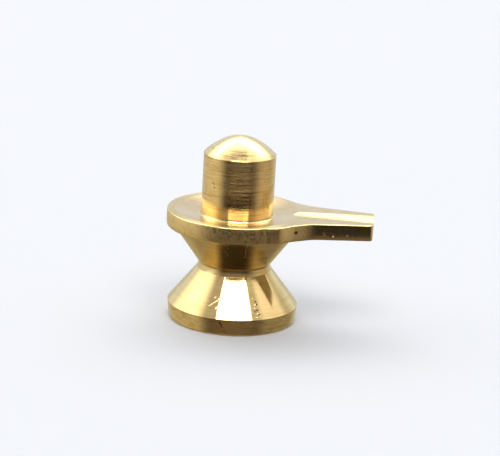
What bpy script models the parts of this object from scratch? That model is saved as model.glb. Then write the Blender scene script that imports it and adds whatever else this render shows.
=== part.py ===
"""A small brass lingam standing on its spouted plate and waisted foot, made as one solid piece.

The axis of the shaft is Z, the flat underside is at z = 0, and the spout points along +X.
"""

import math

import bmesh
import bpy
from mathutils import Vector

# Overall
MM = 0.001
SEGMENTS = 96

# Foot and waist, from the floor up
FOOT_RADIUS = 9.95 * MM
FOOT_EDGE = 0.25 * MM
BASE_RADIUS = 10.2 * MM
BASE_HEIGHT = 2.65 * MM
BASE_EDGE = 0.08 * MM
WAIST_LOW_RADIUS = 5.87 * MM
WAIST_LOW_Z = 8.17 * MM
WAIST_HIGH_RADIUS = 5.55 * MM
WAIST_HIGH_Z = 9.03 * MM

# Plate, with a dish that falls from its rim to the shaft. Dish and cone keep their distance
# from the plate's edge.
PLATE_RADIUS = 10.9 * MM
PLATE_UNDER_Z = 14.92 * MM
PLATE_THICKNESS = 2.53 * MM
PLATE_EDGE = 0.14 * MM
RIM_WIDTH = 1.2 * MM
DISH_DEPTH = 0.75 * MM
UNDER_LEDGE = 1.1 * MM

# Spout
SPOUT_REACH = 21.3 * MM
TIP_HALF_WIDTH = 3.65 * MM
SPOUT_TAPER = 0.15
NECK_RADIUS = 8.5 * MM
TIP_CORNER = 0.6 * MM
SHOULDER_PROUD = 0.65 * MM
GROOVE_RADIUS = 3.6 * MM
GROOVE_TIP_DEPTH = 0.67 * MM
GROOVE_FALL = math.radians(2.35)

# Shaft and dome
SHAFT_RADIUS = 5.6 * MM
SHAFT_TOP_Z = 26.46 * MM
DOME_RISE = 2.8 * MM
DOME_POWER = 1.93
FOOT_FILLET = 0.45 * MM

PLATE_TOP_Z = PLATE_UNDER_Z + PLATE_THICKNESS
CONE_RADIUS = PLATE_RADIUS - UNDER_LEDGE
DISH_RADIUS = PLATE_RADIUS - RIM_WIDTH
DISH_FLOOR_Z = PLATE_TOP_Z - DISH_DEPTH
DISH_SLOPE = math.atan(DISH_DEPTH / (DISH_RADIUS - SHAFT_RADIUS))


def clear_scene():
    for obj in list(bpy.data.objects):
        bpy.data.objects.remove(obj, do_unlink=True)


def new_object(name, bm):
    bmesh.ops.recalc_face_normals(bm, faces=bm.faces)
    mesh = bpy.data.meshes.new(name)
    bm.to_mesh(mesh)
    bm.free()
    obj = bpy.data.objects.new(name, mesh)
    bpy.context.collection.objects.link(obj)
    return obj


def lathe(name, profile):
    """A closed body of revolution. The profile runs from the axis at the top to the axis at the bottom."""
    bm = bmesh.new()
    top = bm.verts.new((0, 0, profile[0][1]))
    bottom = bm.verts.new((0, 0, profile[-1][1]))
    rings = []
    for radius, z in profile[1:-1]:
        ring = []
        for step in range(SEGMENTS):
            angle = 2 * math.pi * step / SEGMENTS
            ring.append(bm.verts.new((radius * math.cos(angle), radius * math.sin(angle), z)))
        rings.append(ring)
    for step in range(SEGMENTS):
        after = (step + 1) % SEGMENTS
        bm.faces.new((top, rings[0][step], rings[0][after]))
        bm.faces.new((bottom, rings[-1][after], rings[-1][step]))
        for upper, lower in zip(rings, rings[1:]):
            bm.faces.new((upper[step], lower[step], lower[after], upper[after]))
    return new_object(name, bm)


def arc(centre, radius, start, end, steps):
    """Points round part of a circle, both ends included."""
    points = []
    for step in range(steps + 1):
        angle = start + (end - start) * step / steps
        points.append((centre[0] + radius * math.cos(angle), centre[1] + radius * math.sin(angle)))
    return points


def body_profile():
    """Half section of everything turned about the axis, from the top of the dome to the underside."""
    profile = []
    for step in range(10):
        part = step / 9
        rise = DOME_RISE * (1 - part ** DOME_POWER)
        profile.append((SHAFT_RADIUS * part, SHAFT_TOP_Z + rise))
    lift = FOOT_FILLET * (math.tan(DISH_SLOPE) + 1 / math.cos(DISH_SLOPE))
    centre = (SHAFT_RADIUS + FOOT_FILLET, DISH_FLOOR_Z + lift)
    profile += arc(centre, FOOT_FILLET, math.pi, 1.5 * math.pi + DISH_SLOPE - 0.2, 5)
    profile.append((profile[-1][0] + 0.1 * FOOT_FILLET, DISH_FLOOR_Z - 0.3 * PLATE_THICKNESS))
    profile.append((CONE_RADIUS, PLATE_UNDER_Z + 0.3 * PLATE_THICKNESS))
    profile.append((CONE_RADIUS, PLATE_UNDER_Z))
    profile.append((WAIST_HIGH_RADIUS, WAIST_HIGH_Z))
    profile.append((WAIST_LOW_RADIUS, WAIST_LOW_Z))
    profile.append((BASE_RADIUS - BASE_EDGE, BASE_HEIGHT + BASE_EDGE))
    profile.append((BASE_RADIUS, BASE_HEIGHT - BASE_EDGE))
    profile.append((FOOT_RADIUS, FOOT_EDGE))
    profile.append((FOOT_RADIUS - FOOT_EDGE, 0))
    profile.append((0, 0))
    return profile


def spout_half_width(x):
    return TIP_HALF_WIDTH + SPOUT_TAPER * (SPOUT_REACH - x)


def neck_circle():
    """Centre of the hollow curve that joins the round plate to the spout's straight flank."""
    lean = math.atan(SPOUT_TAPER)
    low = PLATE_RADIUS * 0.5
    high = SPOUT_REACH
    for _ in range(60):
        x = (low + high) / 2
        y = spout_half_width(x) + NECK_RADIUS / math.cos(lean)
        if math.hypot(x, y) > PLATE_RADIUS + NECK_RADIUS:
            high = x
        else:
            low = x
    return (x, y), lean


def flank():
    """One side of the outline in plan, from the tip back to where the neck meets the round plate."""
    half = spout_half_width(SPOUT_REACH)
    lean = math.atan(SPOUT_TAPER)
    corner = (SPOUT_REACH - TIP_CORNER, half - TIP_CORNER)
    points = arc(corner, TIP_CORNER, 0, math.pi / 2 - lean, 4)
    centre, lean = neck_circle()
    start = -math.pi / 2 - lean
    end = math.atan2(centre[1], centre[0]) - math.pi
    points += arc(centre, NECK_RADIUS, start, end, 10)
    return points


def outline():
    """The plate's outline in plan, anticlockwise from the middle of the spout's end."""
    upper = flank()
    start = math.atan2(upper[-1][1], upper[-1][0])
    steps = round(SEGMENTS * (1 - start / math.pi))
    round_part = arc((0, 0), PLATE_RADIUS, start, 2 * math.pi - start, steps)
    lower = [(x, -y) for x, y in reversed(upper)]
    points = upper + round_part[1:-1] + lower
    return shoulder(points)


def normals(points):
    found = []
    for before, after in zip(points[-1:] + points[:-1], points[1:] + points[:1]):
        along = Vector((after[0] - before[0], after[1] - before[1])).normalized()
        found.append(Vector((along.y, -along.x)))
    return found


def smooth_step(value, low, high):
    part = min(max((value - low) / (high - low), 0), 1)
    return part * part * (3 - 2 * part)


def shoulder(points):
    """The flank on the -Y side stands a little proud where it leaves the round plate."""
    made = []
    for (x, y), normal in zip(points, normals(points)):
        rise = smooth_step(x / PLATE_RADIUS, 0.49, 0.66)
        fade = 1 - smooth_step(x / PLATE_RADIUS, 0.86, 1.3)
        proud = SHOULDER_PROUD * rise * fade if y < 0 else 0
        made.append((x + normal.x * proud, y + normal.y * proud))
    return made


def slab(name, points):
    """The outline raised to the plate's thickness, with a small break along its top and bottom edges."""
    bm = bmesh.new()
    away = normals(points)
    levels = (
        (PLATE_EDGE, PLATE_UNDER_Z),
        (0, PLATE_UNDER_Z + PLATE_EDGE),
        (0, PLATE_TOP_Z - PLATE_EDGE),
        (PLATE_EDGE * 0.3, PLATE_TOP_Z - PLATE_EDGE * 0.3),
        (PLATE_EDGE, PLATE_TOP_Z),
    )
    rings = []
    for inset, z in levels:
        ring = []
        for (x, y), normal in zip(points, away):
            ring.append(bm.verts.new((x - normal.x * inset, y - normal.y * inset, z)))
        rings.append(ring)
    count = len(points)
    for lower, upper in zip(rings, rings[1:]):
        for step in range(count):
            after = (step + 1) % count
            bm.faces.new((lower[step], lower[after], upper[after], upper[step]))
    bm.faces.new(rings[-1])
    bm.faces.new(reversed(rings[0]))
    return new_object(name, bm)


def groove_cutter(name):
    """A round bar laid along the spout, sinking towards its end."""
    bm = bmesh.new()
    rings = []
    for x in (PLATE_RADIUS * 0.3, SPOUT_REACH + 2 * MM):
        depth = GROOVE_TIP_DEPTH - (SPOUT_REACH - x) * math.tan(GROOVE_FALL)
        middle = PLATE_TOP_Z - depth + GROOVE_RADIUS
        ring = []
        for step in range(SEGMENTS):
            angle = 2 * math.pi * (step + 0.5) / SEGMENTS
            y = GROOVE_RADIUS * math.cos(angle)
            ring.append(bm.verts.new((x, y, middle + GROOVE_RADIUS * math.sin(angle))))
        rings.append(ring)
    for step in range(SEGMENTS):
        after = (step + 1) % SEGMENTS
        bm.faces.new((rings[0][step], rings[0][after], rings[1][after], rings[1][step]))
    bm.faces.new(rings[0])
    bm.faces.new(reversed(rings[1]))
    return new_object(name, bm)


def boolean(obj, other, operation):
    modifier = obj.modifiers.new(other.name, "BOOLEAN")
    modifier.operation = operation
    modifier.solver = "EXACT"
    modifier.object = other
    other.hide_render = True
    other.display_type = "WIRE"


def brass():
    material = bpy.data.materials.new("turned_brass")
    material.use_nodes = True
    shader = material.node_tree.nodes["Principled BSDF"]
    shader.inputs["Base Color"].default_value = (0.80, 0.58, 0.25, 1)
    shader.inputs["Metallic"].default_value = 1
    shader.inputs["Roughness"].default_value = 0.25
    return material


def main():
    clear_scene()
    body = lathe("shiva_lingam", body_profile())
    plate = slab("plate_blank", outline())
    dish = lathe(
        "dish_cutter",
        [
            (0, PLATE_TOP_Z + 1 * MM),
            (DISH_RADIUS, PLATE_TOP_Z + 1 * MM),
            (DISH_RADIUS, PLATE_TOP_Z),
            (SHAFT_RADIUS, DISH_FLOOR_Z),
            (0, DISH_FLOOR_Z),
        ],
    )
    boolean(plate, dish, "DIFFERENCE")
    boolean(plate, groove_cutter("groove_cutter"), "DIFFERENCE")
    boolean(body, plate, "UNION")
    body.data.materials.append(brass())
    for polygon in body.data.polygons:
        polygon.use_smooth = True
    body.data.set_sharp_from_angle(angle=math.radians(20))


main()
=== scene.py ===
# %% [markdown]
# # A small brass lingam
#
# The piece is one solid turning: a domed shaft stands on a round plate with a spout, over a waisted
# foot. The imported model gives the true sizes. This script builds the same body again with finer
# edges, gives each machined surface its own brass, and sets it on a plain pale floor.

import math

import bmesh
import bpy
from mathutils import Matrix, Quaternion, Vector


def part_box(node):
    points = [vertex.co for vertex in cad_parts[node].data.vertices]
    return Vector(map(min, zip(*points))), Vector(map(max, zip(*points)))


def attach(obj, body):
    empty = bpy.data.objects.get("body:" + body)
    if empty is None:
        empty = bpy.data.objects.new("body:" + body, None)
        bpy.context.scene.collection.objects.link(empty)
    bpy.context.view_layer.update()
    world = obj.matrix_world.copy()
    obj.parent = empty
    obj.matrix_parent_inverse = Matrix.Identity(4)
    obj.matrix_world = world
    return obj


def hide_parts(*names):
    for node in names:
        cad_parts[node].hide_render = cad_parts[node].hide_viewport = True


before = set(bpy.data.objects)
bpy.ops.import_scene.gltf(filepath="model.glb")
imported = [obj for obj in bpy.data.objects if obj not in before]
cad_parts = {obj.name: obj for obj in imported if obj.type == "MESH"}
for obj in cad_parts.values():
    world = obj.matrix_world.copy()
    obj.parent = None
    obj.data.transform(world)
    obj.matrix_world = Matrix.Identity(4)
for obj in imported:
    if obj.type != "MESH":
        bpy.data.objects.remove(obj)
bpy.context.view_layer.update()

MM = 0.001
low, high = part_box("shiva_lingam")
print("size in mm:", [round(side / MM, 2) for side in high - low])

# %% [markdown]
# ## The camera
#
# A small piece is best seen from close by through a long lens, which keeps upright lines nearly
# parallel. The camera could track an empty, but a direction built from two angles is easier to tune
# one angle at a time. It comes first, because every other choice is judged through it.

# %% Place the camera
CAMERA_DISTANCE = 297.0 * MM
CAMERA_HEIGHT = 100.41 * MM
CAMERA_SIDE = math.radians(4.5)
LOOK_TURN = math.radians(-4.085)
LOOK_DOWN = math.radians(16.122)
CAMERA_ROLL = math.radians(3.217)
LENS = 142.8

camera_data = bpy.data.cameras.new("camera")
camera_data.lens = LENS
camera_data.clip_start = 10 * MM
camera_data.clip_end = 20
camera = bpy.data.objects.new("camera", camera_data)
bpy.context.collection.objects.link(camera)
bpy.context.scene.camera = camera

camera.location = (
    CAMERA_DISTANCE * math.sin(CAMERA_SIDE),
    -CAMERA_DISTANCE * math.cos(CAMERA_SIDE),
    CAMERA_HEIGHT,
)
look = Vector((
    math.sin(LOOK_TURN) * math.cos(LOOK_DOWN),
    math.cos(LOOK_TURN) * math.cos(LOOK_DOWN),
    -math.sin(LOOK_DOWN),
))
camera.rotation_mode = "QUATERNION"
camera.rotation_quaternion = look.to_track_quat("-Z", "Y") @ Quaternion((0, 0, 1), CAMERA_ROLL)
print("camera at", [round(value / MM, 1) for value in camera.location], "mm")

# %% [markdown]
# ## The turned body
#
# On the real piece a cutting tool follows this half section while the bar spins in a lathe. Stacked
# cylinders and cones could give the same form, but they would meet in seams. So the script works as
# the lathe does: it draws the half section as a chain of points and spins it round the axis.

# %% Sizes of the turned body
SHAFT_RADIUS = 5.6 * MM
SHAFT_TOP = 26.46 * MM
DOME_RISE = 2.8 * MM
DOME_POWER = 1.93
SHAFT_FILLET = 0.45 * MM
PLATE_UNDER = 14.92 * MM
PLATE_TOP = 17.45 * MM
DISH_RADIUS = 9.7 * MM
DISH_DEPTH = 0.75 * MM
CONE_RADIUS = 9.8 * MM
WAIST_HIGH = (5.55 * MM, 9.03 * MM)
WAIST_LOW = (5.87 * MM, 8.17 * MM)
BASE_RADIUS = 10.2 * MM
BASE_HEIGHT = 2.65 * MM
FOOT_RADIUS = 9.95 * MM
FOOT_EDGE = 0.25 * MM
DISH_FLOOR = PLATE_TOP - DISH_DEPTH
DISH_SLOPE = math.atan(DISH_DEPTH / (DISH_RADIUS - SHAFT_RADIUS))
# An arris is the edge where two cut faces meet, here rubbed down to this radius.
ARRIS = 0.07 * MM
print("the dish falls by", round(math.degrees(DISH_SLOPE), 1), "degrees")


# %% Rounded stretches of a section
def arc(centre, radius, start, end, steps):
    """Points along part of a circle, both ends included."""
    angles = [start + (end - start) * step / steps for step in range(steps + 1)]
    return [(centre[0] + radius * math.cos(a), centre[1] + radius * math.sin(a)) for a in angles]


def eased(before, corner, after, radius, steps=4):
    """The corner between two straight runs, rounded to a radius."""
    corner = Vector(corner)
    one = (Vector(before) - corner).normalized()
    two = (Vector(after) - corner).normalized()
    half = one.angle(two) / 2
    start = corner + one * radius / math.tan(half)
    end = corner + two * radius / math.tan(half)
    middle = corner + (one + two).normalized() * radius / math.sin(half)
    turn = (start - middle).angle_signed(end - middle)
    points = []
    for step in range(steps + 1):
        spoke = Matrix.Rotation(-turn * step / steps, 2) @ (start - middle)
        points.append(tuple(middle + spoke))
    return points


# %% Half section of the body
DOME_STEPS = 48
FILLET_STEPS = 14
# The fillet stops just short of the dish, and the skin then runs hidden inside the plate.
FILLET_STOP = 0.06
TUCK = 0.8 * MM


def dome_points(steps):
    """The crown of the shaft, from the axis to just inside its arris."""
    points = []
    for step in range(steps + 1):
        part = step / steps * (1 - ARRIS / SHAFT_RADIUS)
        points.append((SHAFT_RADIUS * part, SHAFT_TOP + DOME_RISE * (1 - part**DOME_POWER)))
    return points


def body_section():
    """The whole half section, from the top of the dome to the middle of the underside."""
    crown = dome_points(DOME_STEPS)
    lift = SHAFT_FILLET * (math.tan(DISH_SLOPE) + 1 / math.cos(DISH_SLOPE))
    fillet_centre = (SHAFT_RADIUS + SHAFT_FILLET, DISH_FLOOR + lift)
    fillet_end = 1.5 * math.pi + DISH_SLOPE - FILLET_STOP
    fillet = arc(fillet_centre, SHAFT_FILLET, math.pi, fillet_end, FILLET_STEPS)
    inside = (fillet[-1][0] + TUCK / 8, DISH_FLOOR - TUCK)
    hidden = (CONE_RADIUS, PLATE_UNDER + TUCK)
    cone_top = (CONE_RADIUS, PLATE_UNDER)
    base_edge = (BASE_RADIUS, BASE_HEIGHT)
    foot = (FOOT_RADIUS, FOOT_EDGE)
    flat = (FOOT_RADIUS - FOOT_EDGE, 0)
    points = crown[:-1]
    points += eased(crown[-3], (SHAFT_RADIUS, SHAFT_TOP), fillet[0], ARRIS)
    points += fillet + [inside, hidden, cone_top]
    points += eased(cone_top, WAIST_HIGH, WAIST_LOW, ARRIS / 2, 2)
    points += eased(WAIST_HIGH, WAIST_LOW, base_edge, ARRIS / 2, 2)
    points += eased(WAIST_LOW, base_edge, foot, ARRIS)
    points += eased(base_edge, foot, flat, ARRIS, 2)
    points += [flat, (0, 0)]
    return points


section = body_section()
print("points in the half section:", len(section))

# %% Spin the section into a body
BODY_STEPS = 256
MERGE = 0.0001 * MM


def new_object(name, bm):
    """Puts a finished bmesh into the scene as an object at the origin."""
    bmesh.ops.remove_doubles(bm, verts=bm.verts, dist=MERGE)
    bmesh.ops.recalc_face_normals(bm, faces=bm.faces)
    mesh = bpy.data.meshes.new(name)
    bm.to_mesh(mesh)
    bm.free()
    made = bpy.data.objects.new(name, mesh)
    bpy.context.collection.objects.link(made)
    print(name, "has", len(mesh.polygons), "faces")
    return made


def turned(name, points):
    """A closed body of revolution from its half section."""
    bm = bmesh.new()
    chain = [bm.verts.new((radius, 0, z)) for radius, z in points]
    edges = [bm.edges.new(pair) for pair in zip(chain, chain[1:])]
    bmesh.ops.spin(
        bm, geom=chain + edges, cent=(0, 0, 0), axis=(0, 0, 1), dvec=(0, 0, 0),
        angle=2 * math.pi, steps=BODY_STEPS, use_merge=True, use_duplicate=False,
    )
    return new_object(name, bm)


lingam = turned("lingam_brass", section)

# %% [markdown]
# ## The plate and its spout
#
# The plate is cut to a keyhole outline: a circle that flows into a spout through two hollow curves.
# One flank stands a little proud where it leaves the circle, as a hand-ground piece does. A curve
# object could be filled and extruded, but points worked out from radii keep every size exact and
# let the shoulder be added to them.

# %% Sizes of the plate in plan
PLATE_RADIUS = 10.9 * MM
SPOUT_REACH = high.x
TIP_HALF_WIDTH = 3.65 * MM
SPOUT_TAPER = 0.15
SPOUT_LEAN = math.atan(SPOUT_TAPER)
NECK_RADIUS = 8.5 * MM
TIP_CORNER = 0.6 * MM


def spout_half_width(x):
    return TIP_HALF_WIDTH + SPOUT_TAPER * (SPOUT_REACH - x)


def neck_centre():
    """Centre of the hollow curve that joins the round plate to the spout's straight flank."""
    near, far = PLATE_RADIUS / 2, SPOUT_REACH
    while far - near > MERGE / 1000:
        x = (near + far) / 2
        y = spout_half_width(x) + NECK_RADIUS / math.cos(SPOUT_LEAN)
        if math.hypot(x, y) > PLATE_RADIUS + NECK_RADIUS:
            far = x
        else:
            near = x
    return x, y


print("centre of the neck in mm:", [round(side / MM, 2) for side in neck_centre()])

# %% Outline of the plate in plan
PLATE_STEPS = 288
NECK_STEPS = 40
CORNER_STEPS = 8
# The shoulder rises and fades between these shares of the plate's radius along the spout.
SHOULDER_PROUD = 0.65 * MM
SHOULDER_RISE = (0.49, 0.66)
SHOULDER_FADE = (0.86, 1.3)


def flank():
    """One side of the outline, from the tip back to where the neck meets the round plate."""
    corner = (SPOUT_REACH - TIP_CORNER, TIP_HALF_WIDTH - TIP_CORNER)
    centre = neck_centre()
    points = arc(corner, TIP_CORNER, 0, math.pi / 2 - SPOUT_LEAN, CORNER_STEPS)
    end = math.atan2(centre[1], centre[0]) - math.pi
    return points + arc(centre, NECK_RADIUS, -math.pi / 2 - SPOUT_LEAN, end, NECK_STEPS)


def smooth_step(value, start, end):
    part = min(max((value - start) / (end - start), 0), 1)
    return part * part * (3 - 2 * part)


def with_shoulder(points):
    """Moves the flank on the -Y side outwards near the round plate."""
    moved = []
    for before, here, after in zip(points[-1:] + points[:-1], points, points[1:] + points[:1]):
        along = (Vector(after) - Vector(before)).normalized()
        rise = smooth_step(here[0] / PLATE_RADIUS, *SHOULDER_RISE)
        fade = 1 - smooth_step(here[0] / PLATE_RADIUS, *SHOULDER_FADE)
        proud = SHOULDER_PROUD * rise * fade if here[1] < 0 else 0
        moved.append((here[0] + along.y * proud, here[1] - along.x * proud))
    return moved


upper = flank()
meets = math.atan2(upper[-1][1], upper[-1][0])
round_part = arc((0, 0), PLATE_RADIUS, meets, 2 * math.pi - meets, PLATE_STEPS)
outline = with_shoulder(upper + round_part[1:-1] + [(x, -y) for x, y in reversed(upper)])
print("points round the plate:", len(outline))

# %% [markdown]
# ## The plate's thickness
#
# The plate's side is not quite flat: filing has drawn it in towards both edges, and the edges are
# eased. Both show as bright and dark lines. So the raised side is first cut into rows and bent, and
# only then are its two rims bevelled with a round profile.

# %% Raise the outline to a plate with eased edges
PLATE_EDGE = 0.16 * MM
SIDE_CROWN = 0.05 * MM
SIDE_ROWS = 6


def crown_side(bm):
    """Draws the plate's side in towards its two edges, so that it is a little barrelled."""
    upright = [e for e in bm.edges if abs(e.verts[0].co.z - e.verts[1].co.z) > PLATE_EDGE]
    bmesh.ops.subdivide_edges(bm, edges=upright, cuts=SIDE_ROWS - 1, use_grid_fill=True)
    middle = (PLATE_TOP + PLATE_UNDER) / 2
    inward = {}
    for vert in bm.verts:
        out = sum((f.normal for f in vert.link_faces if abs(f.normal.z) < 0.5), Vector())
        share = (vert.co.z - middle) / (PLATE_TOP - middle)
        inward[vert] = out.normalized() * -SIDE_CROWN * share * share
    for vert, step in inward.items():
        vert.co += step


def in_one_level(edge):
    """Whether an edge lies wholly in the plate's top or in its underside."""
    return any(
        all(abs(vert.co.z - level) < MERGE for vert in edge.verts) for level in (PLATE_UNDER, PLATE_TOP)
    )


def plate_slab():
    bm = bmesh.new()
    bottom = bm.faces.new([bm.verts.new((x, y, PLATE_UNDER)) for x, y in outline])
    raised = bmesh.ops.extrude_face_region(bm, geom=[bottom], use_keep_orig=True)
    lifted = [item for item in raised["geom"] if isinstance(item, bmesh.types.BMVert)]
    bmesh.ops.translate(bm, verts=lifted, vec=(0, 0, PLATE_TOP - PLATE_UNDER))
    bmesh.ops.recalc_face_normals(bm, faces=bm.faces)
    crown_side(bm)
    bmesh.ops.bevel(
        bm, geom=[edge for edge in bm.edges if in_one_level(edge)], offset=PLATE_EDGE,
        offset_type="OFFSET", segments=4, profile=0.5, affect="EDGES", material=-1,
    )
    return new_object("plate_blank", bm)


plate = plate_slab()

# %% [markdown]
# ## Dish and groove
#
# A shallow dish is faced into the plate, and a round cutter runs out along the spout and sinks
# towards its end. The plate's faces could be moved into that shape, but a cutter body in a Boolean
# makes the crisp curved edges that a real cutter leaves.

# %% Cutter for the dish
CLEAR = 1 * MM

dish = turned("dish_cutter", [
    (0, PLATE_TOP + CLEAR),
    (DISH_RADIUS, PLATE_TOP + CLEAR),
    (DISH_RADIUS, PLATE_TOP),
    (SHAFT_RADIUS, DISH_FLOOR),
    (0, DISH_FLOOR),
])

# %% Cutter for the groove
GROOVE_RADIUS = 3.6 * MM
GROOVE_TIP_DEPTH = 0.67 * MM
GROOVE_FALL = math.radians(2.35)
GROOVE_LENGTH = 24 * MM
GROOVE_STEPS = 192


def groove_depth(reach):
    """How deep the bottom of the groove lies under the plate's top."""
    return GROOVE_TIP_DEPTH - (SPOUT_REACH - reach) * math.tan(GROOVE_FALL)


def groove_bar():
    """A round bar along the spout, sinking towards the tip."""
    middle = SPOUT_REACH + CLEAR - GROOVE_LENGTH / 2
    place = Matrix.Translation((middle, 0, PLATE_TOP - groove_depth(middle) + GROOVE_RADIUS))
    bm = bmesh.new()
    bmesh.ops.create_cone(
        bm, cap_ends=True, cap_tris=False, segments=GROOVE_STEPS, radius1=GROOVE_RADIUS,
        radius2=GROOVE_RADIUS, depth=GROOVE_LENGTH,
        matrix=place @ Matrix.Rotation(math.pi / 2 + GROOVE_FALL, 4, "Y"),
    )
    return new_object("groove_cutter", bm)


groove = groove_bar()
print("the groove is", round(groove_depth(SPOUT_REACH) / MM, 2), "mm deep at the spout's end")

# %% [markdown]
# ## Marks of use
#
# The piece has been knocked and put down many times: a few scratches and a column of small chips on
# the skirt, a nick in the base rim and shallow pits in the spout's side. A bump texture could draw
# them, but it would leave the skin smooth. Each is cut with the blunt end of a small egg instead, so
# that its walls catch the light as the real ones do.

# %% Places on the skin
SKIRT_LEAN = math.atan2(BASE_RADIUS - WAIST_LOW[0], WAIST_LOW[1] - BASE_HEIGHT)
RIM_LEAN = math.atan2(FOOT_RADIUS - BASE_RADIUS, BASE_HEIGHT - FOOT_EDGE)


def on_cone(angle, height, low_end, high_end, lean):
    """A point of a turned face between two corners of the section, and the direction out of it."""
    share = (height - low_end[1]) / (high_end[1] - low_end[1])
    radius = low_end[0] + (high_end[0] - low_end[0]) * share
    flat = Vector((math.cos(math.radians(angle)), math.sin(math.radians(angle)), 0))
    outward = flat * math.cos(lean) + Vector((0, 0, math.sin(lean)))
    return flat * radius + Vector((0, 0, height)), outward


def on_skirt(angle, height):
    return on_cone(angle, height, (BASE_RADIUS, BASE_HEIGHT), WAIST_LOW, SKIRT_LEAN)


def on_rim(angle, height):
    return on_cone(angle, height, (FOOT_RADIUS, FOOT_EDGE), (BASE_RADIUS, BASE_HEIGHT), RIM_LEAN)


def on_shaft(angle, height):
    return on_cone(angle, height, (SHAFT_RADIUS, DISH_FLOOR), (SHAFT_RADIUS, SHAFT_TOP), 0)


def on_neck(reach, height):
    """A point of the hollow curve between plate and spout, on the near side."""
    near = [place for place in range(1, len(outline) - 1) if outline[place][1] < 0]
    nearest = min(near, key=lambda place: abs(outline[place][0] - reach))
    before, here, after = (Vector(outline[nearest + step]) for step in (-1, 0, 1))
    along = (after - before).normalized()
    return Vector((*here, height)), Vector((along.y, -along.x, 0))


def on_spout(reach, height):
    point = Vector((reach, -spout_half_width(reach), height))
    return point, Vector((math.sin(SPOUT_LEAN), -math.cos(SPOUT_LEAN), 0))


print("the skirt leans by", round(math.degrees(SKIRT_LEAN), 1), "degrees")

# %% Eggs that cut the marks
# The egg's middle is held above the skin, so that only its blunt end cuts, in shares of the depth.
EGG_LIFT = 1.5
EGG_HALF = 1 + EGG_LIFT
EGG_FOOTPRINT = math.sqrt(1 - (EGG_LIFT / EGG_HALF) ** 2)
# Bright marks get a paler brass, partly fresh metal and partly a painted highlight, and dark marks a
# brown that is painted shade. The eggs are kept, to find their faces later.
bright_seats = []
dark_seats = []


def sink_egg(bm, seats, place, long, wide, deep, turn):
    """The blunt end of an egg sunk in a face: long and wide across it, turned by degrees in it."""
    point, outward = place
    up = (Vector((0, 0, 1)) - outward * outward.z).normalized()
    across = Matrix((up.cross(outward), up, outward)).transposed().to_4x4()
    halves = [side * MM / 2 / EGG_FOOTPRINT for side in (long, wide)]
    size = Matrix.Diagonal((*halves, deep * MM * EGG_HALF, 1))
    middle = Matrix.Translation(point + outward * deep * MM * EGG_LIFT)
    seat = middle @ across @ Matrix.Rotation(math.radians(turn), 4, "Z") @ size
    bmesh.ops.create_icosphere(bm, subdivisions=3, radius=1, matrix=seat)
    seats.append(seat.inverted())


# %% Where the marks are
# On a turned face, in mm and degrees: height, angle round the axis, long, wide, deep, turn. The long
# scratch is a chain of three eggs, because one long egg would leave the round skin at its ends.
SCRATCHES = [
    (4.50, -106.1, 0.66, 0.22, 0.020, 46),
    (4.74, -103.9, 0.66, 0.24, 0.022, 46),
    (4.99, -101.7, 0.66, 0.22, 0.020, 46),
    (5.30, -99.4, 0.64, 0.22, 0.020, 42),
    (5.42, -104.2, 0.56, 0.20, 0.018, 58),
    (4.10, -100.6, 0.60, 0.20, 0.018, 66),
    (4.30, -107.8, 0.45, 0.18, 0.016, 50),
]
CHIPS = [
    (5.40, -63.9, 0.34, 0.24, 0.030, 4),
    (4.62, -62.4, 0.44, 0.28, 0.034, 12),
    (4.22, -63.4, 0.34, 0.26, 0.030, -6),
    (3.44, -61.4, 0.44, 0.26, 0.030, 30),
    (3.04, -62.8, 0.40, 0.30, 0.034, -8),
    (3.06, -59.8, 0.50, 0.24, 0.030, 10),
]
# Dents cut dark: like the hairline, the nick and the spot, they get a brown that is painted shade.
DARK_DENTS = [
    (5.02, -60.2, 0.40, 0.26, 0.024, -20),
    (4.66, -59.6, 0.38, 0.28, 0.020, 40),
    (3.90, -60.4, 0.44, 0.30, 0.024, 3),
    (3.76, -63.0, 0.36, 0.26, 0.020, -50),
    (3.36, -59.6, 0.36, 0.26, 0.020, 20),
]
HAIRLINE = [(22.50, -128.4, 0.76, 0.13, 0.018, -61), (21.88, -126.6, 0.44, 0.13, 0.018, 76)]
NICK = [(1.86, -94.5, 1.35, 0.26, 0.08, -66)]
# On the plate's side, in mm: reach along the spout, height, long, wide, deep.
PITS = [
    (13.85, 15.92, 0.56, 0.56, 0.03),
    (15.25, 15.72, 0.30, 0.30, 0.02),
    (17.42, 15.78, 0.36, 0.36, 0.04),
]
SPOT = (9.70, 16.39, 0.60, 0.56, 0.03)


def marks_of_use():
    bm = bmesh.new()
    for height, angle, *size in SCRATCHES + CHIPS:
        sink_egg(bm, bright_seats, on_skirt(angle, height * MM), *size)
    for reach, height, *size in PITS:
        sink_egg(bm, bright_seats, on_spout(reach * MM, height * MM), *size, 0)
    for marks, seat_on in ((DARK_DENTS, on_skirt), (HAIRLINE, on_shaft), (NICK, on_rim)):
        for height, angle, *size in marks:
            sink_egg(bm, dark_seats, seat_on(angle, height * MM), *size)
    reach, height, *size = SPOT
    sink_egg(bm, dark_seats, on_neck(reach * MM, height * MM), *size, 0)
    return new_object("wear_cutter", bm)


wear = marks_of_use()
print("bright and dark marks:", len(bright_seats), len(dark_seats))

# %% [markdown]
# ## One closed skin
#
# The real piece has no seam between shaft, plate and foot. Bodies that only overlap would look
# joined, but their hidden faces would stay inside. An exact Boolean leaves one closed skin, and it
# is applied at once, so that its faces can be sorted by surface afterwards.


# %% Join plate and body, and cut the marks
def boolean(target, other, operation, crossing=False):
    """Joins or cuts with an exact Boolean, keeps the result and removes the other body."""
    modifier = target.modifiers.new(other.name, "BOOLEAN")
    modifier.operation = operation
    modifier.solver = "EXACT"
    modifier.use_self = crossing
    modifier.object = other
    evaluated = target.evaluated_get(bpy.context.evaluated_depsgraph_get())
    result = bpy.data.meshes.new_from_object(evaluated)
    target.modifiers.clear()
    target.data = result
    bpy.data.objects.remove(other)
    print(target.name, operation.lower(), "gives", len(result.polygons), "faces")


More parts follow.
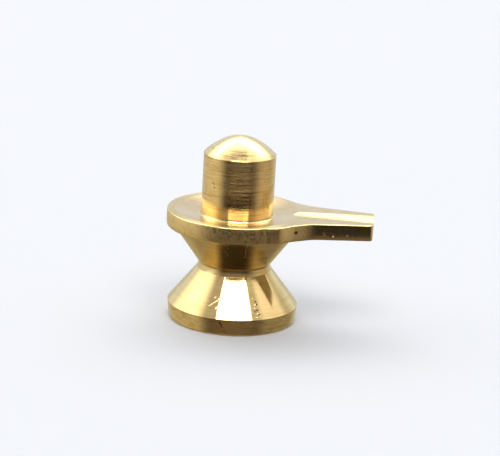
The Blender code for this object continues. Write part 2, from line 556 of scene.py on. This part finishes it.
boolean(plate, dish, "DIFFERENCE")
boolean(plate, groove, "DIFFERENCE")
boolean(lingam, plate, "UNION")
# Some of the eggs run into one another.
boolean(lingam, wear, "DIFFERENCE", crossing=True)


# %% Clean the skin
def tidy_skin(mesh):
    """Merges doubles, drops faces without area and counts the open edges."""
    bm = bmesh.new()
    bm.from_mesh(mesh)
    bmesh.ops.remove_doubles(bm, verts=bm.verts, dist=2 * MERGE)
    bmesh.ops.dissolve_degenerate(bm, edges=bm.edges, dist=MERGE)
    bmesh.ops.triangulate(bm, faces=[face for face in bm.faces if len(face.verts) > 4])
    open_edges = sum(not edge.is_manifold for edge in bm.edges)
    bm.to_mesh(mesh)
    bm.free()
    return open_edges


print("open edges:", tidy_skin(lingam.data), "faces:", len(lingam.data.polygons))

# %% [markdown]
# ## Brass
#
# Brass is copper and zinc, here turned on a lathe and lightly polished. A metal has no colour under
# its surface, so the look comes from three things: the warm tint of its reflections, how rough the
# tool left it, and which way the tool marks run. One brass for all would look like plastic, because
# the lathe, the facing cut, the milling cutter and the drawn bar leave different marks. So each
# surface gets its own brass, built from the same few helpers.


# %% Colours and nodes
def linear(code, strength=1.0):
    """An sRGB hex colour as Blender's linear values, made stronger or weaker for a light."""
    values = [int(code[place : place + 2], 16) / 255 for place in (1, 3, 5)]
    flat = [v / 12.92 if v <= 0.04045 else ((v + 0.055) / 1.055) ** 2.4 for v in values]
    return (*(value * strength for value in flat), 1.0)


def add(tree, kind, inputs=None, **settings):
    """One node with its settings. Each input is a value, or a node or socket to link."""
    node = tree.nodes.new("ShaderNode" + kind)
    for name, value in settings.items():
        setattr(node, name, value)
    for name, value in (inputs or {}).items():
        if isinstance(value, bpy.types.Node):
            value = value.outputs[0]
        if isinstance(value, bpy.types.NodeSocket):
            tree.links.new(value, node.inputs[name])
        else:
            node.inputs[name].default_value = value
    return node


# Clean brass, and the same brass under a first veil of tarnish, in clouds of this size.
BRASS = "#F1DAA0"
TARNISH = "#EACF96"
TARNISH_SIZE = 1.6 * MM
# Where in the noise of the clouds tarnish begins and is full.
TARNISH_FROM, TARNISH_TO = 0.40, 0.65
print("clean brass mirrors", [round(value, 2) for value in linear(BRASS)[:3]], "of the light")


# %% The brass that all surfaces share
def brass(name, roughness, anisotropic, clean, clouds):
    """Brass with faint clouds of tarnish: its material, its shader and the object's coordinates."""
    material = bpy.data.materials.new(name)
    material.use_nodes = True
    tree = material.node_tree
    tree.nodes.clear()
    place = add(tree, "TexCoord").outputs["Object"]
    cloud = add(tree, "TexNoise", {"Vector": place, "Scale": 1 / TARNISH_SIZE, "Detail": 4.0})
    share = add(tree, "MapRange", {"Value": cloud, "From Min": TARNISH_FROM, "From Max": TARNISH_TO})
    tint = add(tree, "Mix", {0: share, 6: linear(clean), 7: linear(clouds)}, data_type="RGBA")
    # The quarter turn spreads reflections across the tool marks instead of along them.
    shader = add(tree, "BsdfPrincipled", {
        "Base Color": tint.outputs[2], "Metallic": 1.0, "Roughness": roughness[0],
        "Anisotropic": anisotropic, "Anisotropic Rotation": 0.25,
    })
    add(tree, "OutputMaterial", {"Surface": shader})
    return material, shader, place


# %% Tool marks on a brass
# Where in the noise of the streaks soil begins and is full.
SPOTLESS, SOILED = 0.47, 0.36
# Where in it the brass is smoothest and roughest.
SMOOTHEST, ROUGHEST = 0.35, 0.65


def mark(tree, shader, streaks, roughness, depth, soil):
    """Streaks as relief, as roughness between two values, and as soil held in the deepest of them."""
    deepest = add(tree, "MapRange", {
        "Value": streaks, "From Min": SPOTLESS, "From Max": SOILED, "To Min": 0.0, "To Max": 1.0,
    })
    clean = shader.inputs["Base Color"].links[0].from_socket
    soiled = add(tree, "Mix", {0: deepest, 6: clean, 7: linear(soil)}, data_type="RGBA")
    tree.links.new(soiled.outputs[2], shader.inputs["Base Color"])
    dull = add(tree, "MapRange", {
        "Value": streaks, "From Min": SMOOTHEST, "From Max": ROUGHEST,
        "To Min": roughness[0], "To Max": roughness[1],
    })
    tree.links.new(dull.outputs[0], shader.inputs["Roughness"])
    relief = add(tree, "Bump", {"Height": streaks, "Distance": depth, "Strength": 1.0})
    tree.links.new(relief.outputs[0], shader.inputs["Normal"])


# %% [markdown]
# ## Turned brass
#
# A lathe tool leaves rings so fine that the eye sees them as sheen: a reflection keeps crisp sides
# but is smeared along the axis. Real rings as geometry would need millions of faces. So the shader
# spreads its reflections across the rings by anisotropy, and a noise that is stretched round the
# axis draws the coarser streaks. The real feed marks lie 0.1 to 0.4 mm apart. The finest are drawn
# at 0.17 mm, because finer ones would be lost between the pixels.


# %% Streaks round the axis
# How strongly the rings stretch a reflection, from 0 to 1.
TURNED_BLUR = 0.95


def ring_streaks(tree, place, spacing, length, flat):
    """Streaks that run round the axis. On a flat face they are spaced by radius, else by height."""
    level = add(tree, "VectorMath", {0: place, 1: (1, 1, 0)}, operation="MULTIPLY")
    spoke = add(tree, "VectorMath", {0: level}, operation="NORMALIZE")
    around = add(tree, "VectorMath", {0: spoke, "Scale": SHAFT_RADIUS / length}, operation="SCALE")
    if flat:
        out = add(tree, "VectorMath", {0: level}, operation="LENGTH").outputs["Value"]
    else:
        out = add(tree, "SeparateXYZ", {0: place}).outputs["Z"]
    row = add(tree, "Math", {0: out, 1: spacing}, operation="DIVIDE")
    stacked = add(tree, "CombineXYZ", {"Z": row})
    where = add(tree, "VectorMath", {0: around, 1: stacked}, operation="ADD")
    return add(tree, "TexNoise", {"Vector": where, "Scale": 1.0, "Detail": 3.0, "Roughness": 0.6})


def turned_brass(name, roughness, spacing, length, depth, soil, flat=False, clean=BRASS, clouds=TARNISH):
    """Brass from the lathe. Its fine rings spread each reflection across themselves."""
    material, shader, place = brass(name, roughness, TURNED_BLUR, clean, clouds)
    tree = material.node_tree
    across = add(tree, "VectorMath", {0: (0, 0, 1), 1: place}, operation="CROSS_PRODUCT")
    tangent = add(tree, "VectorMath", {0: across}, operation="NORMALIZE")
    tree.links.new(tangent.outputs[0], shader.inputs["Tangent"])
    mark(tree, shader, ring_streaks(tree, place, spacing, length, flat), roughness, depth, soil)
    print("brass:", name)
    return material


# %% Brass of the shaft, dome, cones and rim
# Left as the fine feed cut it: thin dark and light lines, and a soft dark band up the front.
shaft_brass = turned_brass(
    "shaft_turned_brass", roughness=(0.17, 0.28), spacing=0.17 * MM, length=5.0 * MM,
    depth=0.026 * MM, soil="#D8B67A",
)
# Rubbed after turning: a bright crown with a few thin rings near its edge.
dome_brass = turned_brass(
    "dome_turned_brass", roughness=(0.12, 0.20), spacing=0.20 * MM, length=4.0 * MM,
    depth=0.016 * MM, soil="#D9B878", flat=True,
)
# Cut with a broad sharp tool: nearly a mirror, so that the softbox keeps its sides in the skirt.
cone_brass = turned_brass(
    "cone_turned_brass", roughness=(0.06, 0.10), spacing=0.30 * MM, length=6.0 * MM,
    depth=0.004 * MM, soil="#E4C88C",
)
# Handled and put down most: short, broken streaks with soil between them.
rim_brass = turned_brass(
    "rim_turned_brass", roughness=(0.13, 0.22), spacing=0.52 * MM, length=1.1 * MM,
    depth=0.030 * MM, soil="#DCBE84",
)

# %% Brass of the plate's top
# Faced and polished: a pale satin sheet that takes its colour from the wall behind it.
face_brass = turned_brass(
    "plate_faced_brass", roughness=(0.11, 0.17), spacing=0.40 * MM, length=6.0 * MM,
    depth=0.006 * MM, soil="#DFC296", flat=True, clean="#E6CB9B", clouds="#E0C393",
)
# The flat land round the dish had a coarser cut: a duller and yellower ring.
land_brass = turned_brass(
    "land_turned_brass", roughness=(0.20, 0.28), spacing=0.36 * MM, length=5.0 * MM,
    depth=0.010 * MM, soil="#D6BA80", flat=True, clean="#DEC68E", clouds="#D9C086",
)

# %% [markdown]
# ## Smoother stretches
#
# The shaft gets smoother towards its foot, where the tool ran out slowly, and so does the plate's
# side along the spout, where fingers rub it. Two materials would meet in a hard line. So a position
# along one axis turns down the roughness and the relief of a single brass bit by bit.

# %% Smoother along an axis
SMOOTH_SHARE = 0.4
FOOT_SMOOTH = 19.6 * MM
FOOT_ROUGH = 22.0 * MM


def smoother(material, axis, smooth_at, rough_at):
    """Brings roughness and relief down to a share of themselves between two places on an axis."""
    tree = material.node_tree
    shader = next(node for node in tree.nodes if node.type == "BSDF_PRINCIPLED")
    dull = shader.inputs["Roughness"].links[0].from_socket
    place = add(tree, "TexCoord").outputs["Object"]
    along = add(tree, "SeparateXYZ", {0: place}).outputs[axis]
    share = add(tree, "MapRange", {
        "Value": along, "From Min": smooth_at, "From Max": rough_at,
        "To Min": SMOOTH_SHARE, "To Max": 1.0,
    })
    eased_dull = add(tree, "Math", {0: dull, 1: share}, operation="MULTIPLY")
    tree.links.new(eased_dull.outputs[0], shader.inputs["Roughness"])
    relief = shader.inputs["Normal"].links[0].from_node
    tree.links.new(share.outputs[0], relief.inputs["Strength"])
    print(material.name, "is smoother at", axis, "=", round(smooth_at / MM, 1), "mm")


smoother(shaft_brass, "Z", FOOT_SMOOTH, FOOT_ROUGH)

# %% [markdown]
# ## Milled groove
#
# The groove's cutter travelled along the spout, so its marks lie along it and the reflection is
# spread across the groove. The same brass serves, with the tangent along X and a noise that is
# stretched the same way.

# %% Brass of the groove
MILLED_BLUR = 0.9


def milled_brass(name, roughness, spacing, length, depth, soil):
    """Brass that a cutter ran along the spout: its marks lie along X."""
    material, shader, place = brass(name, roughness, MILLED_BLUR, BRASS, TARNISH)
    tree = material.node_tree
    tree.links.new(add(tree, "CombineXYZ", {"X": 1.0}).outputs[0], shader.inputs["Tangent"])
    pitch = (1 / length, 1 / spacing, 1 / spacing)
    drawn = add(tree, "VectorMath", {0: place, 1: pitch}, operation="MULTIPLY")
    streaks = add(tree, "TexNoise", {"Vector": drawn, "Scale": 1.0, "Detail": 3.0})
    mark(tree, shader, streaks, roughness, depth, soil)
    print("brass:", name)
    return material


# Long faint lines, and a highlight as wide as the groove.
groove_brass = milled_brass(
    "groove_milled_brass", roughness=(0.20, 0.28), spacing=0.40 * MM, length=5.0 * MM,
    depth=0.008 * MM, soil="#E4CA90",
)

# %% [markdown]
# ## Surfaces without a direction
#
# The plate's side keeps the drawn skin of the bar, its underside was sawn, the edges were burnished
# by handling, and the marks of use are small torn craters. None of them has tool marks that all run
# one way, so an even grain does for them all, with its own size, depth and soil.


# %% Brass with an even grain
def grained_brass(name, roughness, grain, depth, soil, clean=BRASS, clouds=TARNISH):
    """Brass with no direction in it, only an even grain."""
    material, shader, place = brass(name, roughness, 0.0, clean, clouds)
    tree = material.node_tree
    skin = add(tree, "TexNoise", {"Vector": place, "Scale": 1 / grain, "Detail": 4.0})
    mark(tree, shader, skin, roughness, depth, soil)
    print("brass:", name)
    return material


# Drawn bar: dull and faintly mottled, with hardly any sheen. It is smoother along the spout.
SPOUT_SMOOTH = 13.2 * MM
SPOUT_ROUGH = 7.2 * MM
edge_brass = grained_brass(
    "edge_drawn_brass", roughness=(0.31, 0.43), grain=0.40 * MM, depth=0.016 * MM, soil="#DCBF86"
)
smoother(edge_brass, "X", SPOUT_SMOOTH, SPOUT_ROUGH)
# Sawn and never polished: even, it shows only light and shade. Its near-white colour is painted light
# that brightens the shaded underside.
under_brass = grained_brass(
    "underside_sawn_brass_painted_light", roughness=(0.52, 0.64), grain=0.5 * MM, depth=0.010 * MM,
    soil="#F4E0AE", clean="#FFF6DC", clouds="#FBECC8",
)

# %% Brass of the edges and marks
# Rubbed bright by handling: one thin clear line along every edge.
arris_brass = grained_brass(
    "arris_burnished_brass", roughness=(0.20, 0.26), grain=0.6 * MM, depth=0.001 * MM, soil=BRASS
)
# A fresh cut shows metal that has not tarnished. Its paler colour is partly that and partly a painted
# highlight: a pale glint.
worn_glint_brass = grained_brass(
    "mark_fresh_glint_brass", roughness=(0.26, 0.34), grain=0.4 * MM, depth=0.004 * MM,
    soil="#C9A365", clean="#F7E6BC", clouds="#F1DAA0",
)
# The dark brown in these cuts is painted shade: a dull brown fleck.
shaded_mark_brass = grained_brass(
    "mark_painted_shade_brass", roughness=(0.42, 0.55), grain=0.4 * MM, depth=0.004 * MM,
    soil="#54401F", clean="#7A5D38", clouds="#5E4826",
)

# %% [markdown]
# ## Each surface gets its brass
#
# A machinist would name the surfaces of this piece by where they are. The script does the same: the
# place and the direction of each face tell which cut made it. Painting faces by hand would be lost
# as soon as the mesh is built again.

# %% Tell the surfaces apart
SURFACES = [
    shaft_brass, dome_brass, cone_brass, rim_brass, face_brass, land_brass,
    groove_brass, edge_brass, under_brass, arris_brass, worn_glint_brass, shaded_mark_brass,
]
SHAFT, DOME, CONE, RIM, FACE, LAND, GROOVE, EDGE, UNDER, BURNISHED, WORN_GLINT, SHADED_MARK = range(12)
LAND_END = 7.5 * MM
ON_BAR = 0.006 * MM
# Room for rounding when places are compared.
HAIR = 0.001 * MM
# How upright a face's direction is, where the flats end and the eased edges and the side begin.
FLAT_TOP = 0.97
FLAT_UNDER = -0.9
EDGE_STEEP = 0.25


def in_groove(centre):
    """Whether a point lies on the bar that cut the groove."""
    height = centre.z - (PLATE_TOP - groove_depth(centre.x) + GROOVE_RADIUS)
    return centre.x > SHAFT_RADIUS and abs(math.hypot(centre.y, height) - GROOVE_RADIUS) < ON_BAR


def in_mark(centre, seats):
    """Whether a point lies inside one of the eggs that cut the marks."""
    return any((seat @ centre).length < 1 for seat in seats)


def plate_surface(centre, normal, radius):
    """Which surface of the plate or spout a face belongs to."""
    if in_groove(centre):
        return GROOVE
    if normal.z < FLAT_UNDER:
        return UNDER
    if normal.z >= FLAT_TOP:
        return LAND if radius > DISH_RADIUS and centre.x < LAND_END else FACE
    return BURNISHED if normal.z > EDGE_STEEP else EDGE


def surface_of(centre, normal):
    """Which machined surface a face belongs to."""
    radius = math.hypot(centre.x, centre.y)
    if in_mark(centre, bright_seats):
        return WORN_GLINT
    if in_mark(centre, dark_seats):
        return SHADED_MARK
    if centre.z > SHAFT_TOP + 20 * HAIR:
        return DOME
    if centre.z > DISH_FLOOR and radius < SHAFT_RADIUS + 1.1 * SHAFT_FILLET:
        return SHAFT
    if centre.z > PLATE_UNDER - HAIR and (radius > CONE_RADIUS or centre.z > DISH_FLOOR - HAIR):
        return plate_surface(centre, normal, radius)
    return CONE if centre.z > BASE_HEIGHT - ARRIS else RIM


for material in SURFACES:
    lingam.data.materials.append(material)
counts = [0] * len(SURFACES)
for polygon in lingam.data.polygons:
    polygon.use_smooth = True
    polygon.material_index = surface_of(polygon.center, polygon.normal)
    counts[polygon.material_index] += 1
print("faces of each brass:", counts)

# %% [markdown]
# ## Clean shading
#
# A mirror shows every slip in its shading. Smooth shading averages the directions of neighbouring
# faces, so a small cut would bend the reflection for a long way round it. The borders of the marks,
# of the groove and of the dish are marked as sharp, and the Weighted Normal modifier lets the large
# faces lead elsewhere.

# %% Sharp borders and weighted normals
SHARP = math.radians(30)
NORMAL_WEIGHT = 80
lingam.data.set_sharp_from_angle(angle=SHARP)


def sharpen_borders(mesh):
    """Marks the borders of the marks and of the groove as sharp, and counts them."""
    sides = {}
    for polygon in mesh.polygons:
        cut = "mark" if polygon.material_index in (WORN_GLINT, SHADED_MARK) else polygon.material_index == GROOVE
        for pair in polygon.edge_keys:
            sides.setdefault(pair, set()).add(cut)
    borders = [edge for edge in mesh.edges if len(sides[edge.key]) == 2]
    for edge in borders:
        edge.use_edge_sharp = True
    return len(borders)


def sharpen_dish_rim(mesh):
    """The rim of the dish turns by only ten degrees, so it is marked as sharp by its place."""
    for edge in mesh.edges:
        ends = [mesh.vertices[index].co for index in edge.vertices]
        level = all(abs(end.z - PLATE_TOP) < HAIR for end in ends)
        if level and all(abs(end.xy.length - DISH_RADIUS) < 20 * HAIR for end in ends):
            edge.use_edge_sharp = True


print("edges round the marks and the groove:", sharpen_borders(lingam.data))
sharpen_dish_rim(lingam.data)
weights = lingam.modifiers.new("flat_faces_lead", "WEIGHTED_NORMAL")
weights.keep_sharp = True
weights.weight = NORMAL_WEIGHT

# %% Say what the piece is
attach(lingam, "root")
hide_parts("shiva_lingam")
print("dressed piece:", lingam.name)

# %% [markdown]
# ## Floor
#
# The floor is a sheet of matt paper, plain and pale. A plane with an edge in view would show a
# horizon, so it is a disc that reaches past the picture. It is hidden from glossy rays: the brass
# sees the room that is built below instead.

# %% Lay the paper
FLOOR_RADIUS = 3.0
PAPER = "#B3BAC7"
# Rough enough to show no shine, only the soft shadow of the piece.
PAPER_ROUGHNESS = 0.9


def floor_disc():
    bm = bmesh.new()
    bmesh.ops.create_circle(bm, cap_ends=True, radius=FLOOR_RADIUS, segments=96)
    return new_object("floor", bm)


floor = floor_disc()
paper = bpy.data.materials.new("matt_paper")
paper.use_nodes = True
paper_shader = paper.node_tree.nodes["Principled BSDF"]
paper_shader.inputs["Base Color"].default_value = linear(PAPER)
paper_shader.inputs["Roughness"].default_value = PAPER_ROUGHNESS
floor.data.materials.append(paper)
floor.visible_glossy = False

# %% [markdown]
# ## The room round the piece
#
# Brass shows what stands round it far more than its own colour, so the light is laid out as a
# studio: a light wall behind, a brighter light on the left, a dark room behind the camera and dim
# tones below. Cards and lamps could stand there as objects, but then each would have to be kept out
# of the picture. A world that depends only on direction is seen by the brass and casts the soft
# light as well. Each patch of the room is laid over those before it.

# %% Directions in the room
world = bpy.data.worlds.new("studio")
world.use_nodes = True
bpy.context.scene.world = world
sky = world.node_tree
sky.nodes.clear()
direction = add(sky, "TexCoord").outputs["Generated"]
turn = add(sky, "VectorRotate", {"Vector": direction, "Angle": -CAMERA_SIDE}, rotation_type="Z_AXIS")
parts = add(sky, "SeparateXYZ", {0: turn})
front = add(sky, "Math", {0: parts.outputs["Y"], 1: -1.0}, operation="MULTIPLY")
round_turn = add(sky, "Math", {0: parts.outputs["X"], 1: front}, operation="ARCTAN2")
round_angle = add(sky, "Math", {0: round_turn}, operation="DEGREES")
steepness = add(sky, "Math", {0: parts.outputs["Z"]}, operation="ARCSINE")
height_angle = add(sky, "Math", {0: steepness}, operation="DEGREES")


def within(mask, value, start, end, soft):
    """What a mask keeps between two values, with soft ends."""
    for edge, inward in ((start, 1), (end, -1)):
        step = add(sky, "MapRange", {
            "Value": value, "From Min": edge - inward * soft / 2, "From Max": edge + inward * soft / 2,
        }, interpolation_type="SMOOTHSTEP")
        mask = add(sky, "Math", {0: mask, 1: step}, operation="MULTIPLY")
    return mask


print("nodes for the directions:", len(sky.nodes))

# %% Patches of the room
# A bound out of reach leaves that side open.
OPEN = 200
# The middle of a patch's turn round the piece (0 is towards the camera, plus is its right), half its
# turn and the softness of that edge, its lowest and highest angle above the level and the softness
# of those edges, all in degrees, then colour and light.
ROOM = {
    "low": (0, OPEN, 1, -OPEN, -6, 12, "#FFF0CE", 0.75),
    "high": (0, OPEN, 1, 12, OPEN, 20, "#FFFBF2", 0.92),
    "high_right": (105, 62, 30, 24, OPEN, 12, "#FFF5EA", 1.15),
    "back_low": (180, 55, 50, -OPEN, 4, 12, "#FFFDF2", 0.63),
    "back_high": (180, 55, 50, 4, 60, 12, "#F0F8FF", 0.95),
    "ground": (0, OPEN, 1, -OPEN, -20, 14, "#FFF0C4", 0.47),
    "ground_deep": (0, OPEN, 1, -OPEN, -44, 20, "#FFE9BF", 0.36),
    "right_low": (84, 46, 30, -OPEN, 25, 10, "#FFF0D4", 0.50),
    "right_floor": (96, 54, 26, -OPEN, -22, 10, "#FFECC8", 0.225),
    "front_middle": (4, 58, 44, -OPEN, 36, 8, "#FFE6D0", 0.25),
    "dark_front": (3, 50, 40, -OPEN, 14, 12, "#FFF0EE", 0.034),
    "floor_front": (5, 46, 40, -OPEN, -22, 8, "#FFDCB6", 0.175),
    "left_light": (-100, 24, 30, 14, 50, 12, "#FFF7E2", 2.2),
    "left_gap": (-48, 18, 14, 38, 72, 10, "#FFF7E9", 0.54),
    "right_gap": (50, 20, 14, 38, 72, 10, "#FFF6E5", 0.68),
}


def room_mask(middle, half, soft, lowest, highest, soft_up):
    """Where a patch of the room lies."""
    away = add(sky, "Math", {0: round_angle, 1: middle}, operation="SUBTRACT")
    wrapped = add(sky, "Math", {0: away, 1: 180.0, 2: -180.0}, operation="WRAP")
    return within(within(1.0, wrapped, -half, half, soft), height_angle, lowest, highest, soft_up)


patches = [(room_mask(*shape), code, light) for *shape, code, light in ROOM.values()]
print("patches of the room:", len(patches))

# %% [markdown]
# ## Softboxes
#
# A softbox is a flat lamp with straight sides. In a cone or a cylinder it shows as a clean band or
# trapezoid, which angles round the piece can't give. So its mask is a true rectangle: directions
# are divided by how far they point towards it, which lays them flat on its plane.

# %% Hang the softboxes
# Turn and height of the line from the piece to the softbox, in degrees, its sides in shares of its
# distance, then softness, colour and light.
SOFTBOXES = {
    "overhead": (180, 56, (-0.76, 0.76), (-0.28, 0.28), 0.60, "#FFF9F0", 4.6),
    "front": (0, 40, (-0.39, 0.55), (-0.12, 0.64), 0.03, "#FFF7EB", 6),
    "front_low": (0, 40, (-0.39, 0.55), (-0.12, 0.10), 0.05, "#FFF6E8", 1.6),
    "gap_above": (0, 85, (-0.28, 0.28), (-0.20, 0.15), 0.10, "#FFF6E6", 0.10),
}


def softbox_mask(around, height, widths, lengths, soft):
    """Where a softbox is seen."""
    around, height = math.radians(around), math.radians(height)
    flat = Vector((math.sin(around), -math.cos(around), 0))
    aim = flat * math.cos(height) + Vector((0, 0, math.sin(height)))
    over = Vector((0, 0, math.cos(height))) - flat * math.sin(height)
    toward = add(sky, "VectorMath", {0: turn, 1: aim}, operation="DOT_PRODUCT").outputs["Value"]
    ahead = add(sky, "Math", {0: toward, 1: 0.001}, operation="MAXIMUM")
    mask = 1.0
    for axis, sides in ((over.cross(aim), widths), (over, lengths)):
        share = add(sky, "VectorMath", {0: turn, 1: axis}, operation="DOT_PRODUCT").outputs["Value"]
        flat_place = add(sky, "Math", {0: share, 1: ahead}, operation="DIVIDE")
        mask = within(mask, flat_place, *sides, soft)
    return mask


patches += [(softbox_mask(*shape), code, light) for *shape, code, light in SOFTBOXES.values()]
print("patches of light in all:", len(patches))

# %% Lay the patches over the wall
WALL = ("#FFFAF4", 0.77)
colour = linear(*WALL)
for mask, code, light in patches:
    mixed = add(sky, "Mix", {0: mask, 6: colour, 7: linear(code, light)}, data_type="RGBA")
    colour = mixed.outputs[2]
background = add(sky, "Background", {"Color": colour, "Strength": 1.0})
add(sky, "OutputWorld", {"Surface": background})
bpy.context.scene.view_settings.view_transform = "Standard"
print("nodes in the room:", len(sky.nodes))
